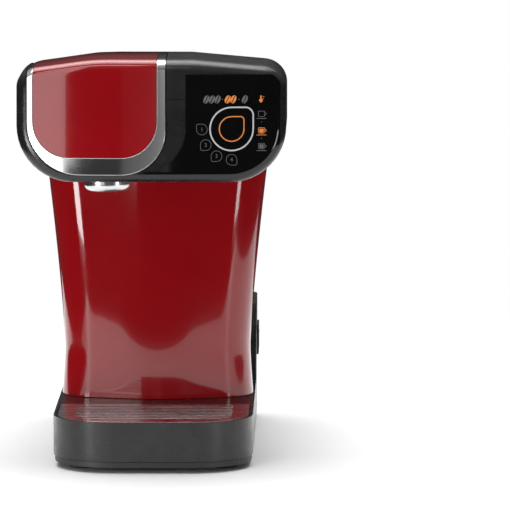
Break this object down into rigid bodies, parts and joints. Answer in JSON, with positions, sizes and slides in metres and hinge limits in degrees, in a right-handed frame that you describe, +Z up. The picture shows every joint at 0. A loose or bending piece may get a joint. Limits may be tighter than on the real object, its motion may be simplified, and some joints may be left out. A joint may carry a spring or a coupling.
{
  "type": "pod coffee machine",
  "caption": "Pod coffee machine: a wide head with a hinged brewing lid and touch panel on a waisted column, a lift-off water tank behind and a pull-out drip tray.",
  "frame": {"origin": "on the table, below the middle of the machine's overall box", "axes": "front is -Y, +X is to the right as seen from the front, +Z is up"},
  "size_m": [0.187, 0.3214, 0.289],
  "materials": {
    "red_casing": "high gloss moulded",
    "black_casing": "satin moulded",
    "panel_black": "piano gloss",
    "chrome_trim": "plated, mirror bright",
    "steel": "satin",
    "grey_plastic": "fine grain",
    "white_plastic": "fine grain",
    "tank_clear": "smoky clear plastic",
    "rubber": "matt",
    "silicone": "translucent",
    "circuit_board": "solder resist",
    "light_guide": "clear",
    "reader_window": "dark red clear",
    "aluminium": "cast",
    "copper": "enamelled wire",
    "amber_plastic": "gloss"
  },
  "bodies": {
    "machine": {"base_plate": "black_casing", "rubber_feet": "rubber", "base_screws": "steel", "base_housing": "black_casing", "column_front_shell": "red_casing", "column_chassis": "black_casing", "head_lower_housing": "black_casing", "head_top_cover": "black_casing", "control_panel_plate": "panel_black", "touch_board": "circuit_board", "icon_light_guides": "light_guide", "pod_cradle": "grey_plastic", "pod_reader_window": "reader_window", "pod_reader_board": "circuit_board", "piercing_unit": "grey_plastic", "inlet_seal": "silicone", "drink_spout": "steel", "lid_hinge_pin": "steel", "lid_switch": "black_casing", "heater_block": "aluminium", "heater_elements": "steel", "heater_thermostat": "black_casing", "thermal_fuse": "white_plastic", "control_board": "circuit_board", "pump_body": "white_plastic", "pump_coil": "copper", "pump_spring": "steel", "pump_mounts": "rubber", "flow_meter_body": "grey_plastic", "flow_meter_cover": "grey_plastic", "dock_hose": "silicone", "suction_hose": "silicone", "pressure_hose": "silicone", "brew_hose": "silicone", "tank_dock": "grey_plastic", "dock_seal": "rubber", "cord_gland": "rubber", "switch_bezel": "black_casing"},
    "brew_lid": {"lid_skin": "red_casing", "lid_trim": "chrome_trim", "lid_frame": "black_casing", "pod_clamp": "grey_plastic", "clamp_pad": "silicone", "lid_screws": "steel"},
    "tank": {"tank_shell": "tank_clear", "tank_outlet": "grey_plastic", "filter_funnel": "white_plastic", "filter_cartridge": "white_plastic", "tank_lid_pins": "steel"},
    "tank_cover": {"tank_lid": "black_casing"},
    "float": {"tank_float": "white_plastic"},
    "valve": {"tank_valve": "grey_plastic"},
    "tray": {"drip_tray": "black_casing"},
    "grate": {"drip_grate": "steel"},
    "rocker": {"power_rocker": "black_casing"},
    "disc": {"cleaning_disc": "amber_plastic"},
    "impeller": {"flow_impeller": "white_plastic"},
    "plunger": {"pump_plunger": "steel"}
  },
  "joints": [
    {"name": "brew_lid_hinge", "type": "hinge", "parent": "machine", "child": "brew_lid", "pos_m": [-0.038, -0.048, 0.277], "axis": [-1, 0, 0], "range_deg": [0, 65]},
    {"name": "tank_lift", "type": "slide", "parent": "machine", "child": "tank", "axis": [0, 0, 1], "range_m": [0, 0.25]},
    {"name": "tank_cover_hinge", "type": "hinge", "parent": "tank", "child": "tank_cover", "pos_m": [0, 0.158, 0.2495], "axis": [-1, 0, 0], "range_deg": [0, 100]},
    {"name": "float_slide", "type": "slide", "parent": "tank", "child": "float", "axis": [0, 0, 1], "range_m": [0, 0.085]},
    {"name": "valve_slide", "type": "slide", "parent": "tank", "child": "valve", "axis": [0, 0, 1], "range_m": [-0.003, 0]},
    {"name": "tray_slide", "type": "slide", "parent": "machine", "child": "tray", "axis": [0, -1, 0], "range_m": [0, 0.12]},
    {"name": "grate_lift", "type": "slide", "parent": "tray", "child": "grate", "axis": [0, 0, 1], "range_m": [0, 0.05]},
    {"name": "power_rocker_hinge", "type": "hinge", "parent": "machine", "child": "rocker", "pos_m": [0.0665, 0.115, 0.062], "axis": [0, 0, 1], "range_deg": [-12, 0]},
    {"name": "disc_slide", "type": "slide", "parent": "machine", "child": "disc", "axis": [0, 1, 0], "range_m": [0, 0.06]},
    {"name": "impeller_spin", "type": "hinge", "parent": "machine", "child": "impeller", "pos_m": [0, 0.119, 0.05], "axis": [0, 0, 1], "continuous": true},
    {"name": "plunger_stroke", "type": "slide", "parent": "machine", "child": "plunger", "axis": [0, 1, 0], "range_m": [-0.0015, 0.002], "stiffness_N_per_m": 800}
  ],
  "couplings": [
    {"joint": "valve_slide", "follows": "tank_lift", "ratio": -0.012}
  ]
}
